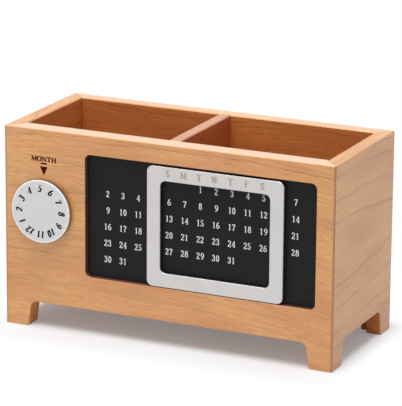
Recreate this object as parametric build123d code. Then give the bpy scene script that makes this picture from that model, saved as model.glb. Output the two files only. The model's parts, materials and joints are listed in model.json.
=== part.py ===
"""Desk calendar with a pencil box.

A wooden box on four feet, with two compartments. Its thick front carries a perpetual calendar: a black plate
with the days, a frame that slides over the plate to the month's first weekday, and a dial for the month.

Millimetres. +X runs to the right as seen from the front, +Y to the back and +Z up. The origin is on the
surface that the box stands on, under the middle of the whole object with its dial.

"Depth" below is the distance behind the front face of the wood. What stands proud has a negative depth.
"""
import os

from build123d import *

os.makedirs("parts", exist_ok=True)

# ---- Boards of the case ----
front_thickness = 9.6
board_thickness = 7.5
compartment_depth = 57.7
foot_height = 12.9
lower_rail_height = 16.8
upper_rail_height = 9.8
right_stile_width = 9.4
arris_radius = 0.5
rim_bevel = 0.5

# ---- Feet, cut into all four boards ----
foot_width = 12.0
foot_taper = 1.8
foot_corner_radius = 3.5
cut_edge_bevel = 0.3
selection_tolerance = 0.01

# ---- Floor, partition and corner keys ----
floor_height = 13.2
floor_thickness = 5.0
groove_depth = 3.0
floor_edge_gap = 0.3
partition_thickness = 6.0
housing_depth = 2.5
housing_stop_below_rim = 10.0
spline_thickness = 1.5
spline_width = 4.0
spline_length = 58.0
spline_inset = 2.9
spline_height_above_floor = 9.0
spline_fit_gap = 0.05

# ---- Calendar grid ----
column_pitch = 8.2
row_pitch = 8.2
weekday_count = 7
row_count = 6
rest_position = 4
sight_side_margin = 3.9
sight_end_margin = 2.4
sight_corner_radius = 2.8

# ---- Slider: metal frame on a flexible magnet ----
frame_border = 7.15
frame_thickness = 1.5
frame_below_face = 0.1
frame_bevel = 0.25
slider_corner_relief = 0.3
slider_side_gap = 0.1
slider_top_gap = 1.0
slider_bottom_gap = 0.1
magnet_thickness = 0.8
magnet_inset = 0.8
slide_gap = 0.05

# ---- Date plate and its tape ----
plate_thickness = 0.9
plate_edge_gap = 0.15
tape_thickness = 0.3
tape_inset = 1.5
recess_corner_radius = 2.8
recess_bevel = 0.3

# ---- Month dial and its bearing ----
dial_radius = 15.8
dial_thickness = 2.6
dial_edge_round = 0.4
dial_left_margin = 5.1
dial_to_recess = 7.2
spindle_radius = 2.0
spindle_seat_depth = 1.6
press_gap = 0.01
running_gap = 0.05
axial_play = 0.05
glide_washer_radius = 7.0
glide_washer_thickness = 0.3
bush_wall = 1.5
bush_flange_width = 1.5
bush_flange_thickness = 1.0
counterbore_clearance = 1.0
spring_washer_width = 2.0
spring_washer_sheet = 0.3
spring_washer_bow = 0.35
flat_washer_radius = 4.5
flat_washer_thickness = 0.5
thread_radius = 1.5
nut_across_flats = 5.5
nut_thickness = 2.4
thread_end_length = 0.25
thread_end_cover = 0.2

# ---- Sizes that follow from the ones above ----
sight_width = (weekday_count - 1) * column_pitch + 2 * sight_side_margin
sight_height = (row_count - 1) * row_pitch + 2 * sight_end_margin
slider_width = sight_width + 2 * frame_border
slider_height = sight_height + 2 * frame_border
slider_corner_radius = recess_corner_radius + slider_corner_relief
slide_travel = (weekday_count - 1) * column_pitch

recess_width = slider_width + slide_travel + 2 * slider_side_gap
recess_height = slider_height + slider_top_gap + slider_bottom_gap
magnet_front_depth = frame_below_face + frame_thickness
plate_front_depth = magnet_front_depth + magnet_thickness + slide_gap
recess_depth = plate_front_depth + plate_thickness + tape_thickness

case_width = dial_left_margin + 2 * dial_radius + dial_to_recess + recess_width + right_stile_width
case_height = foot_height + lower_rail_height + recess_height + upper_rail_height
case_depth = front_thickness + compartment_depth + board_thickness
dial_proud = dial_thickness + axial_play + glide_washer_thickness

left_x = -case_width / 2
right_x = case_width / 2
front_y = dial_proud - (case_depth + dial_proud) / 2
inner_front_y = front_y + front_thickness
inner_back_y = inner_front_y + compartment_depth
back_y = front_y + case_depth
inner_left_x = left_x + board_thickness
inner_right_x = right_x - board_thickness

recess_right_x = right_x - right_stile_width
recess_x = recess_right_x - recess_width / 2
recess_bottom_z = foot_height + lower_rail_height
recess_z = recess_bottom_z + recess_height / 2
slider_rest_x = recess_x - slide_travel / 2 + rest_position * column_pitch
slider_z = recess_bottom_z + slider_bottom_gap + slider_height / 2
dial_x = left_x + dial_left_margin + dial_radius
dial_z = recess_z

floor_top_z = floor_height + floor_thickness
spline_bottom_z = floor_top_z + spline_height_above_floor

bush_bore_radius = spindle_radius + running_gap
bush_radius = bush_bore_radius + bush_wall
bush_flange_radius = bush_radius + bush_flange_width
spring_washer_height = spring_washer_sheet + spring_washer_bow
bearing_stack = bush_flange_thickness + spring_washer_height + axial_play + flat_washer_thickness
counterbore_depth = bearing_stack + nut_thickness + thread_end_length + thread_end_cover
counterbore_radius = bush_flange_radius + counterbore_clearance
bush_length = front_thickness - counterbore_depth
shoulder_depth = bush_length + bush_flange_thickness + spring_washer_height + axial_play
nut_depth = shoulder_depth + flat_washer_thickness


def block(low, high):
    """A box from its lowest to its highest corner."""
    size = Vector(*high) - Vector(*low)
    centre = (Vector(*high) + Vector(*low)) / 2
    return Pos(centre) * Box(size.X, size.Y, size.Z)


def from_front(sketch, depth, thickness):
    """A sketch in X and Z, as seen from the front, made into a solid that starts at a depth."""
    plane = Plane(origin=(0, front_y + depth, 0), x_dir=(1, 0, 0), z_dir=(0, -1, 0))
    return extrude(plane * sketch, amount=thickness, dir=(0, 1, 0))


def from_left(sketch, thickness):
    """A sketch in Y and Z, made into a solid that starts at the left end of the case."""
    plane = Plane(origin=(left_x, 0, 0), x_dir=(0, 1, 0), z_dir=(1, 0, 0))
    return extrude(plane * sketch, amount=thickness, dir=(1, 0, 0))


def upright(points):
    """A plan outline, made into a prism as high as the case."""
    return extrude(make_face(Polyline(*points, close=True)), amount=case_height, dir=(0, 0, 1))


# ---- Cuts that the boards share ----
def case_envelope():
    """The outside of the glued case, with all its outer edges eased."""
    envelope = block((left_x, front_y, 0), (right_x, back_y, case_height))
    return fillet(envelope.edges(), arris_radius)


def foot_outline(low, high):
    """The gap between two feet on one side of the case, from one end of the side to the other."""
    half_foot_gap = (high - low) / 2 - foot_width
    top = half_foot_gap - foot_taper
    middle = (low + high) / 2
    outline = Polyline(
        (middle - half_foot_gap, 0),
        (middle - top, foot_height),
        (middle + top, foot_height),
        (middle + half_foot_gap, 0),
        close=True,
    )
    face = make_face(outline)
    return fillet(face.vertices().group_by(Axis.Y)[-1], foot_corner_radius)


def foot_gaps():
    """The two passages under the case: front to back, and end to end."""
    lengthways = from_front(foot_outline(left_x, right_x), 0, case_depth)
    crossways = from_left(foot_outline(front_y, back_y), case_width)
    return [lengthways, crossways]


def floor_groove():
    """The groove that holds the floor, cut as one box into all four boards."""
    return block(
        (inner_left_x - groove_depth, inner_front_y - groove_depth, floor_height),
        (inner_right_x + groove_depth, inner_back_y + groove_depth, floor_top_z),
    )


def rim_flares():
    """The bevel round the mouth of each compartment."""
    flares = []
    for low_x, high_x in (
        (inner_left_x, -partition_thickness / 2),
        (partition_thickness / 2, inner_right_x),
    ):
        mouth = Rectangle(high_x - low_x, compartment_depth)
        place = Pos((low_x + high_x) / 2, (inner_front_y + inner_back_y) / 2, case_height - rim_bevel)
        flares.append(place * extrude(mouth, amount=rim_bevel, taper=-45))
    return flares


def spline_slots(gap):
    """The keys across the four mitres, or with a gap the slots that they sit in."""
    slots = []
    reach = board_thickness - spline_inset
    for side_x, turn_x in ((left_x + reach, 1), (right_x - reach, -1)):
        for side_y, turn_y in ((front_y + reach, 1), (back_y - reach, -1)):
            key = Box(spline_width + 2 * gap, spline_thickness + 2 * gap, spline_length + 2 * gap)
            place = Pos(side_x, side_y, spline_bottom_z + spline_length / 2)
            slots.append(place * Rot(0, 0, -45 * turn_x * turn_y) * key)
    return slots


def partition_tongues():
    """The stopped housings in the front and back boards that hold the partition's tongues."""
    top_z = case_height - housing_stop_below_rim
    tongues = []
    for low_y, high_y in (
        (inner_front_y - housing_depth, inner_front_y),
        (inner_back_y, inner_back_y + housing_depth),
    ):
        tongues.append(
            block((-partition_thickness / 2, low_y, floor_top_z), (partition_thickness / 2, high_y, top_z))
        )
    return tongues


def finish_board(prism):
    """A board with the work that all four share: eased corners, feet, floor groove, rim and key slots."""
    board = prism & case_envelope()
    for cut in foot_gaps() + [floor_groove()] + rim_flares() + spline_slots(spline_fit_gap):
        board -= cut
    return board


def bevel_foot_cut(board, axis, outer_face):
    """Bevel the edges of the foot cut-out on the board's outer face, the first or the last along an axis."""
    face = board.faces().filter_by(axis).sort_by(axis)[outer_face]
    above_arris = arris_radius + selection_tolerance
    below_rail = foot_height + selection_tolerance
    arch = [edge for edge in face.edges() if above_arris < edge.center().Z < below_rail]
    return chamfer(arch, cut_edge_bevel)


# ---- Boards ----
def front_panel():
    """Thick front, mitred as deep as the ends are thick, with a square shoulder behind the mitre."""
    board = finish_board(
        upright(
            [
                (left_x, front_y),
                (right_x, front_y),
                (inner_right_x, front_y + board_thickness),
                (inner_right_x, inner_front_y),
                (inner_left_x, inner_front_y),
                (inner_left_x, front_y + board_thickness),
            ]
        )
    )
    board = bevel_foot_cut(board, Axis.Y, 0)
    recess = Pos(recess_x, recess_z) * RectangleRounded(recess_width, recess_height, recess_corner_radius)
    board -= from_front(recess, 0, recess_depth)
    board -= recess_mouth_bevel()
    bearing_hole = Pos(dial_x, dial_z) * Circle(bush_radius + press_gap)
    board -= from_front(bearing_hole, 0, front_thickness)
    counterbore = Pos(dial_x, dial_z) * Circle(counterbore_radius)
    board -= from_front(counterbore, bush_length, counterbore_depth)
    board -= partition_tongues()[0]
    return board


def recess_mouth_bevel():
    """The bevel round the mouth of the calendar recess."""
    mouth = RectangleRounded(
        recess_width + 2 * recess_bevel, recess_height + 2 * recess_bevel, recess_corner_radius + recess_bevel
    )
    plane = Plane(origin=(recess_x, front_y, recess_z), x_dir=(1, 0, 0), z_dir=(0, 1, 0))
    return extrude(plane * mouth, amount=recess_bevel, taper=45)


def back_panel():
    board = finish_board(
        upright(
            [
                (left_x, back_y),
                (right_x, back_y),
                (inner_right_x, inner_back_y),
                (inner_left_x, inner_back_y),
            ]
        )
    )
    board = bevel_foot_cut(board, Axis.Y, -1)
    return board - partition_tongues()[1]


def left_end_panel():
    board = finish_board(
        upright(
            [
                (left_x, front_y),
                (inner_left_x, front_y + board_thickness),
                (inner_left_x, inner_back_y),
                (left_x, back_y),
            ]
        )
    )
    return bevel_foot_cut(board, Axis.X, 0)


def right_end_panel():
    board = finish_board(
        upright(
            [
                (right_x, front_y),
                (inner_right_x, front_y + board_thickness),
                (inner_right_x, inner_back_y),
                (right_x, back_y),
            ]
        )
    )
    return bevel_foot_cut(board, Axis.X, -1)


def floor_board():
    reach = groove_depth - floor_edge_gap
    return block(
        (inner_left_x - reach, inner_front_y - reach, floor_height),
        (inner_right_x + reach, inner_back_y + reach, floor_top_z),
    )


def centre_partition():
    """Board between the compartments, with a tongue at each end that stops below the rim."""
    board = block(
        (-partition_thickness / 2, inner_front_y, floor_top_z),
        (partition_thickness / 2, inner_back_y, case_height),
    )
    for tongue in partition_tongues():
        board += tongue
    for flare in rim_flares():
        board -= flare
    return board


def mitre_splines():
    return Compound(children=spline_slots(0))


# ---- Calendar ----
def date_plate():
    outline = RectangleRounded(
        recess_width - 2 * plate_edge_gap,
        recess_height - 2 * plate_edge_gap,
        recess_corner_radius - plate_edge_gap,
    )
    return from_front(Pos(recess_x, recess_z) * outline, plate_front_depth, plate_thickness)


def date_plate_tape():
    outline = Rectangle(recess_width - 2 * tape_inset, recess_height - 2 * tape_inset)
    return from_front(Pos(recess_x, recess_z) * outline, plate_front_depth + plate_thickness, tape_thickness)


def slider_ring(inset):
    """The slider's outline with its sight opening, drawn in by an inset on both sides."""
    total = 2 * inset
    outer = RectangleRounded(slider_width - total, slider_height - total, slider_corner_radius - inset)
    sight = RectangleRounded(sight_width + total, sight_height + total, sight_corner_radius + inset)
    return Pos(slider_rest_x, slider_z) * (outer - sight)


def slider_frame():
    frame = from_front(slider_ring(0), frame_below_face, frame_thickness)
    return chamfer(frame.faces().sort_by(Axis.Y)[0].edges(), frame_bevel)


def slider_magnet():
    return from_front(slider_ring(magnet_inset), magnet_front_depth, magnet_thickness)


# ---- Month dial ----
def on_dial_axis(radius, depth, length):
    """A cylinder on the dial's axis."""
    return from_front(Pos(dial_x, dial_z) * Circle(radius), depth, length)


def month_dial():
    disc = on_dial_axis(dial_radius, -dial_proud, dial_thickness)
    rim = disc.edges().filter_by(GeomType.CIRCLE).sort_by(Axis.Y)
    disc = fillet(rim, dial_edge_round)
    seat_depth = dial_thickness - dial_proud - spindle_seat_depth
    return disc - on_dial_axis(spindle_radius + press_gap, seat_depth, spindle_seat_depth)


def dial_spindle():
    """Stud with a smooth journal that ends in a shoulder, and a thread for the nut."""
    seat = dial_thickness - dial_proud - spindle_seat_depth
    journal = on_dial_axis(spindle_radius, seat, shoulder_depth - seat)
    thread_length = flat_washer_thickness + nut_thickness + thread_end_length
    thread = on_dial_axis(thread_radius, shoulder_depth, thread_length)
    return journal + thread


def dial_bush():
    body = on_dial_axis(bush_radius, 0, bush_length)
    flange = on_dial_axis(bush_flange_radius, bush_length, bush_flange_thickness)
    return body + flange - on_dial_axis(bush_bore_radius, 0, bush_length + bush_flange_thickness)


def dial_glide_washer():
    disc = on_dial_axis(glide_washer_radius, -glide_washer_thickness, glide_washer_thickness)
    return disc - on_dial_axis(spindle_radius + running_gap, -glide_washer_thickness, glide_washer_thickness)


def dial_spring_washer():
    """A washer bowed about an upright line: its two sides bear on the bush, its middle on the flat washer."""
    front = bush_length + bush_flange_thickness
    inner_radius = bush_bore_radius
    outer_radius = inner_radius + spring_washer_width
    bow_radius = (outer_radius**2 + spring_washer_bow**2) / (2 * spring_washer_bow)
    crest_y = front_y + front + spring_washer_height
    ring = on_dial_axis(outer_radius, front, spring_washer_height)
    ring -= on_dial_axis(inner_radius, front, spring_washer_height)
    length = 2 * outer_radius
    bow_place = Pos(dial_x, crest_y - bow_radius, dial_z)
    shell = bow_place * Cylinder(bow_radius, length)
    shell -= bow_place * Cylinder(bow_radius - spring_washer_sheet, length)
    return ring & shell


def dial_flat_washer():
    disc = on_dial_axis(flat_washer_radius, shoulder_depth, flat_washer_thickness)
    return disc - on_dial_axis(thread_radius + press_gap, shoulder_depth, flat_washer_thickness)


def dial_nut():
    hexagon = RegularPolygon(nut_across_flats / 2, 6, major_radius=False)
    nut = from_front(Pos(dial_x, dial_z) * hexagon, nut_depth, nut_thickness)
    return nut - on_dial_axis(thread_radius + press_gap, nut_depth, nut_thickness)


PIECES = [
    front_panel,
    back_panel,
    left_end_panel,
    right_end_panel,
    floor_board,
    centre_partition,
    mitre_splines,
    date_plate,
    date_plate_tape,
    slider_frame,
    slider_magnet,
    month_dial,
    dial_spindle,
    dial_bush,
    dial_glide_washer,
    dial_spring_washer,
    dial_flat_washer,
    dial_nut,
]

for piece in PIECES:
    export_step(piece(), f"parts/{piece.__name__}.step")

print(f"case {case_width:.2f} x {case_depth:.2f} x {case_height:.2f} mm")
slide_left = -rest_position * column_pitch
print(f"slide from {slide_left:.3f} to {slide_left + slide_travel:.3f}")
print(f"dial axis at x {dial_x:.3f}, z {dial_z:.3f}; front face at y {front_y:.3f}")
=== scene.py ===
"""Desk calendar with a pencil box: the finish of every part, the printed marks and the studio.

Metres, in the part's own frame: +X to the right as seen from the front, +Y to the back, +Z up from the floor.
The wood's grain is worked out in millimetres, because its rings, fibres and pores are that small.
"""

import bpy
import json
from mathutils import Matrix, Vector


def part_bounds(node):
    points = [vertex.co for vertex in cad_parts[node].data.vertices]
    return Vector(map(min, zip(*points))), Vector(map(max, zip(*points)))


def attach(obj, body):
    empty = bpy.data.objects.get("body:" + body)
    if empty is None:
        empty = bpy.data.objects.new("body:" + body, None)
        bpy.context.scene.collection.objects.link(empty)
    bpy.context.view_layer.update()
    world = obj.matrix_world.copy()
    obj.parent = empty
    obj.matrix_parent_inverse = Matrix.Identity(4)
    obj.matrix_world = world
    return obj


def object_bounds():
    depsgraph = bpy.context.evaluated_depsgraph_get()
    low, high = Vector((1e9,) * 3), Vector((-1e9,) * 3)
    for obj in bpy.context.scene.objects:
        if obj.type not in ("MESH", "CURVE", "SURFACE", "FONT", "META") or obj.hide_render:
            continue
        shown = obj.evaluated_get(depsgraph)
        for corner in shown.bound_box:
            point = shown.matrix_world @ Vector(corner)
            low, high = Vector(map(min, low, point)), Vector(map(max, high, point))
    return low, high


bl_info = {
    "name": "Desk Calendar Finisher",
    "version": (1, 0, 0),
    "blender": (4, 5, 0),
    "location": "View3D > Sidebar > Desk Calendar",
    "description": "Finishes the boards, plate, slider and dial of a desk calendar, and prints its marks",
    "category": "Object",
}

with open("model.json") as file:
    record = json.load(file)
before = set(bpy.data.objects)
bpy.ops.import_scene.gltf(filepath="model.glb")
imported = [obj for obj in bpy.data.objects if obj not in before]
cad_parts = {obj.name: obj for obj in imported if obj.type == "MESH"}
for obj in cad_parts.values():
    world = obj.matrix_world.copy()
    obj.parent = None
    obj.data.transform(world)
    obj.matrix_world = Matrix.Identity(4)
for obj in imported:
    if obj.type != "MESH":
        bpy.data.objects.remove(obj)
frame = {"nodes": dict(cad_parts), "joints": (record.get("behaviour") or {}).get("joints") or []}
part_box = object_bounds()

import json
from collections import namedtuple
from math import ceil, cos, pi, radians, sin

import bmesh
import bpy
from bpy.props import FloatProperty, FloatVectorProperty, IntProperty, PointerProperty
from mathutils import Matrix, Vector
from mathutils.geometry import delaunay_2d_cdt

NODES = frame["nodes"]

WEEKDAYS = "SMTWTFS"
MONTHS = 12
DAYS = 31


def middle(node):
    """The middle of a node's box."""
    low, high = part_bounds(node)
    return (low + high) / 2


def front_face(node):
    """Where a node's front face stands on Y."""
    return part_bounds(node)[0].y


slide = next(joint for joint in frame["joints"] if joint["name"] == "weekday_slide")
SLIDE_TRAVEL = slide["range_m"][1] - slide["range_m"][0]
COLUMN_PITCH = SLIDE_TRAVEL / (len(WEEKDAYS) - 1)
SLIDER_MIDDLE = middle("slider_frame")
PLATE_MIDDLE = middle("date_plate")
DIAL_MIDDLE = middle("month_dial")
DIAL_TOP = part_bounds("month_dial")[1].z
WOOD_FRONT = front_face("front_panel")


# ---- Settings ----
def length(name, description, default):
    """A setting in metres."""
    return FloatProperty(
        name=name, description=description, default=default, min=0.0, unit="LENGTH", precision=5
    )


def colour(name, description, default):
    """A setting for a plain colour, in the linear values that a shader takes."""
    return FloatVectorProperty(
        name=name, description=description, default=default, size=3, min=0.0, max=1.0, subtype="COLOR"
    )


def share(name, description, default):
    """A setting from 0 to 1."""
    return FloatProperty(
        name=name, description=description, default=default, min=0.0, max=1.0, subtype="FACTOR"
    )


class CalendarPrintSettings(bpy.types.PropertyGroup):
    """Sizes and places of the printed marks"""

    day_height: length("Day height", "Height of a day's figures", 0.0032)
    row_pitch: length("Row pitch", "Distance between two rows of days", 0.0082)
    row_count: IntProperty(name="Rows", description="Rows of days on the plate", default=6, min=1)
    first_day_offset: IntProperty(
        name="First day", description="What the number in the top left cell would be", default=-5
    )
    rows_drop: length("Rows' drop", "How far the rows stand below the middle of the sight opening", 0.0001)
    columns_shift: length("Columns' shift", "How far the columns stand left of the plate's middle", 0.0001)
    weekday_height: length("Weekday height", "Height of a weekday's letter", 0.0033)
    weekday_drop: length("Weekday drop", "From the frame's top edge to the middle of its letters", 0.0033)
    month_height: length("Month height", "Height of the dial's figures", 0.0034)
    month_radius: length("Month radius", "From the dial's axis to the middle of its figures", 0.0116)
    month_on_top: IntProperty(
        name="Month on top", description="The month that the mark points at", default=5, min=1, max=MONTHS
    )
    month_slant: share("Month slant", "How far the dial's figures lean, as a share of their height", 0.14)
    label_height: length("Label height", "Height of the letters over the dial", 0.0025)
    label_width: length("Label width", "Width of the word over the dial", 0.0138)
    label_shift: length("Label shift", "How far the marks stand to the right of the dial's axis", 0.0005)
    label_rise: length("Label rise", "From the dial's top edge to the middle of the word", 0.0099)
    bar_width: length("Bar width", "Width of the short bar under the word", 0.0033)
    bar_height: length("Bar height", "Thickness of the short bar", 0.0008)
    bar_rise: length("Bar rise", "From the dial's top edge to the bar", 0.0077)
    arrow_width: length("Arrow width", "Width of the arrow's top side", 0.0042)
    arrow_height: length("Arrow height", "Height of the arrow", 0.0045)
    arrow_rise: length("Arrow rise", "From the dial's top edge to the arrow's tip", 0.0017)
    pen_thick: share("Thick stroke", "Width of an upright stroke, as a share of the height", 0.145)
    pen_thin: share("Thin stroke", "Width of a level stroke, as a share of the height", 0.060)
    bold_thick: share("Bold stroke", "The same for the bold marks on the dial and the slider", 0.25)
    bold_thin: share("Bold thin stroke", "Width of a level stroke in the bold marks", 0.12)
    word_thick: share("Word's stroke", "The same for the word over the dial", 0.24)
    word_thin: share("Word's thin stroke", "Width of a level stroke in the word", 0.11)
    ink_proud: length("Ink height", "How far the ink stands on its surface", 0.00003)
    ink_sunk: length("Ink depth", "How far the ink reaches into its surface", 0.00001)


class CalendarColourSettings(bpy.types.PropertyGroup):
    """Colours of the finishes"""

    wood_pale: colour("Pale wood", "Early wood under the lacquer", (0.765, 0.360, 0.095))
    wood_deep: colour("Deep wood", "The broad darker streaks", (0.63, 0.257, 0.061))
    wood_line: colour("Growth line", "Late wood at the end of a year's ring", (0.36, 0.118, 0.026))
    # Painted sheen: the pale top rims of the front and the back
    sanded_rim: colour("Sanded rim", "Top edges of the front and the back, sanded paler", (0.80, 0.50, 0.255))
    wood_pore: colour("Pore", "Open pores", (0.27, 0.10, 0.030))
    # Painted shade: darkens the faces inside the compartments and the cut faces of the feet
    oiled_inside: colour("Oiled inside", "How oil deepens the wood inside the compartments", (0.86, 0.62, 0.45))
    # Painted shade on the walls of the calendar recess
    routed_wall: colour("Routed wall", "Wood that the cutter browned in the recess", (0.10, 0.030, 0.012))
    plate_paint: colour("Plate paint", "Matt black paint on the date plate", (0.0075, 0.0068, 0.0072))
    slider_metal: colour("Slider metal", "Matt metal of the sliding frame", (0.665, 0.645, 0.635))
    dial_paint: colour("Dial paint", "Pale paint on the month dial", (0.69, 0.69, 0.69))
    # A paler ring on the dial's face near its rim
    dial_edge: colour("Dial edge", "The paint where it wraps over the dial's edge", (0.86, 0.85, 0.84))
    dial_side: colour("Dial side", "Bare metal on the dial's side", (0.42, 0.41, 0.40))
    dial_groove: colour("Dial groove", "The tool's fine marks on that side", (0.2, 0.19, 0.18))
    tape_film: colour("Tape", "Adhesive sheet behind the date plate", (0.72, 0.72, 0.66))
    magnet_rubber: colour("Magnet", "Flexible magnet on the back of the slider", (0.02, 0.02, 0.02))
    washer_nylon: colour("Nylon", "Thin washer behind the dial", (0.78, 0.77, 0.72))
    bush_brass: colour("Brass", "Bush that the dial's stud turns in", (0.78, 0.55, 0.22))
    zinc_steel: colour("Steel", "The stud, its washers and its nut", (0.60, 0.61, 0.63))
    day_ink: colour("Day ink", "Ink of the days", (0.80, 0.80, 0.79))
    weekday_ink: colour("Weekday ink", "Ink of the weekdays' letters", (0.41, 0.395, 0.36))
    month_ink: colour("Month ink", "Ink of the dial's figures", (0.008, 0.007, 0.008))
    label_ink: colour("Label ink", "Ink of the marks over the dial", (0.065, 0.004, 0.002))
    studio_floor: colour("Floor", "Paper that the box stands on", (0.745, 0.765, 0.785))


class CalendarStudioSettings(bpy.types.PropertyGroup):
    """Camera, lamp and floor"""

    camera_place: FloatVectorProperty(
        name="Camera", description="Where the camera stands", default=(0.56467, -1.21626, 0.44163),
        size=3, subtype="TRANSLATION", unit="LENGTH",
    )
    camera_aim: FloatVectorProperty(
        name="Aim", description="The point that the camera looks at", default=(0.00229, -0.0009, 0.06368),
        size=3, subtype="TRANSLATION", unit="LENGTH",
    )
    camera_roll: FloatProperty(
        name="Roll", description="How far the camera is turned about its view", default=radians(0.453),
        subtype="ANGLE",
    )
    camera_lens: FloatProperty(
        name="Focal length", description="Focal length in millimetres on a sensor 36 mm high", default=253.11
    )
    room_light: share("Room light", "Even light from all round", 0.48)
    key_place: FloatVectorProperty(
        name="Key lamp", description="Where the large lamp hangs", default=(-0.05, -0.55, 1.95),
        size=3, subtype="TRANSLATION", unit="LENGTH",
    )
    key_size: length("Key size", "Side of the large square lamp", 1.2)
    key_power: FloatProperty(
        name="Key power", description="Power of the large lamp in watts", default=36, min=0.0
    )
    floor_radius: length("Floor radius", "Radius of the floor", 3.0)
    # The floor's white glow is weaker near the part: a painted shadow round it, shaped by the inset, apron and
    # reach
    floor_glow: share("Floor glow", "How white the floor shows under the part, over its own colour", 0.19)
    glow_inset: length("Glow inset", "How far inside the part's ends the floor starts to fade", 0.005)
    glow_apron: length("Glow apron", "How far before the part's front the floor starts to fade", 0.009)
    glow_reach: length("Glow reach", "How far from there the floor has become white", 0.015)


# ---- Finishes ----
MM = 1000.0


class Shade:
    """A finish while it is mixed: a material or a world, with a short call for each kind of node in use."""

    def __init__(self, name, kind="materials"):
        self.finish = getattr(bpy.data, kind).new(name)
        self.finish.use_nodes = True
        self.tree = self.finish.node_tree
        self.tree.nodes.clear()

    def add(self, kind, inputs=None, **settings):
        """A node with its settings. An input is another node's socket or a plain value."""
        node = self.tree.nodes.new(kind)
        for setting, value in settings.items():
            setattr(node, setting, value)
        for key, value in (inputs or {}).items():
            if isinstance(value, bpy.types.NodeSocket):
                self.tree.links.new(value, node.inputs[key])
            else:
                node.inputs[key].default_value = value
        return node

    def place(self):
        """The point on the part, in metres in its own frame."""
        return self.add("ShaderNodeTexCoord").outputs["Object"]

    def turned(self, vector, location=(0, 0, 0), rotation=(0, 0, 0), scale=(1, 1, 1)):
        """A point scaled, then turned, then shifted."""
        inputs = {"Vector": vector, "Location": location, "Rotation": rotation, "Scale": scale}
        return self.add("ShaderNodeMapping", inputs).outputs[0]

    def in_mm(self):
        """The point on the part in millimetres."""
        return self.turned(self.place(), scale=(MM, MM, MM))

    def scaled(self, vector, along, across):
        """A point for a texture that is drawn out along the grain."""
        return self.turned(vector, scale=(along, across, across))

    def vector(self, operation, *values):
        node = self.add("ShaderNodeVectorMath", dict(enumerate(values)), operation=operation)
        return node.outputs["Value" if operation == "LENGTH" else "Vector"]

    def number(self, operation, *values):
        return self.add("ShaderNodeMath", dict(enumerate(values)), operation=operation).outputs[0]

    def axes(self, vector):
        return self.add("ShaderNodeSeparateXYZ", {0: vector}).outputs

    def point(self, *values):
        return self.add("ShaderNodeCombineXYZ", dict(enumerate(values))).outputs[0]

    def smooth(self, value, low, high, start=0.0, end=1.0):
        """A smooth step from start, where the value is at low, to end, where it is at high."""
        inputs = {"Value": value, "From Min": low, "From Max": high, "To Min": start, "To Max": end}
        return self.add("ShaderNodeMapRange", inputs, interpolation_type="SMOOTHSTEP").outputs[0]

    def noise(self, vector, scale=1.0, detail=2.0, roughness=0.5):
        inputs = {"Vector": vector, "Scale": scale, "Detail": detail, "Roughness": roughness}
        return self.add("ShaderNodeTexNoise", inputs).outputs

    def noise_along(self, value, scale):
        """Noise that changes with one number alone."""
        return self.noise(self.point(value), scale)[0]

    def spots(self, vector, start, end):
        """Small round spots, one in each cell."""
        cell = self.add("ShaderNodeTexVoronoi", {"Vector": vector, "Scale": 1.0}).outputs["Distance"]
        return self.smooth(cell, start, end, 1.0, 0.0)

    def mix(self, amount, first, second, blend_type="MIX"):
        """Some share of the second colour in the first."""
        inputs = {0: amount}
        for socket, value in ((6, first), (7, second)):
            inputs[socket] = value if isinstance(value, bpy.types.NodeSocket) else (*value, 1.0)
        return self.add("ShaderNodeMix", inputs, data_type="RGBA", blend_type=blend_type).outputs[2]

    def coat(self, colour, roughness, height=None, relief=0.0, **shine):
        """The surface itself. The relief is the depth of its bumps in metres."""
        inputs = {"Base Color": colour, "Roughness": roughness}
        inputs.update({key.replace("_", " "): value for key, value in shine.items()})
        if height is not None:
            bump = self.add("ShaderNodeBump", {"Height": height, "Strength": 1.0, "Distance": relief})
            inputs["Normal"] = bump.outputs[0]
        surface = self.add("ShaderNodeBsdfPrincipled", inputs)
        self.add("ShaderNodeOutputMaterial", {"Surface": surface.outputs[0]})
        return self.finish


FLAT_ON_X = (0.0, 0.0, 0.0)
FLAT_ON_Y = (0.0, 0.0, -pi / 2)
LYING_ON_X = (-pi / 2, 0.0, 0.0)
EVEN = (1.0, 1.0, 1.0)

# Where each board was cut from its log, in millimetres. The turn lays its fibres on X, and they climb by the
# slope and the sweep. The runout and the shift place it in the log, whose pith is at a depth and a height, and
# the spacing is that of the years. The tone tints it, and on the right end and the partition it paints shade.
# The lacquer is the coat's weight. The evenness is how little the growth lines fade, and the grit is the
# strength of the fibres, flecks and pores.
Board = namedtuple("Board", "turn slope sweep runout shift pith spacing tone lacquer evenness grit")

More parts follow.
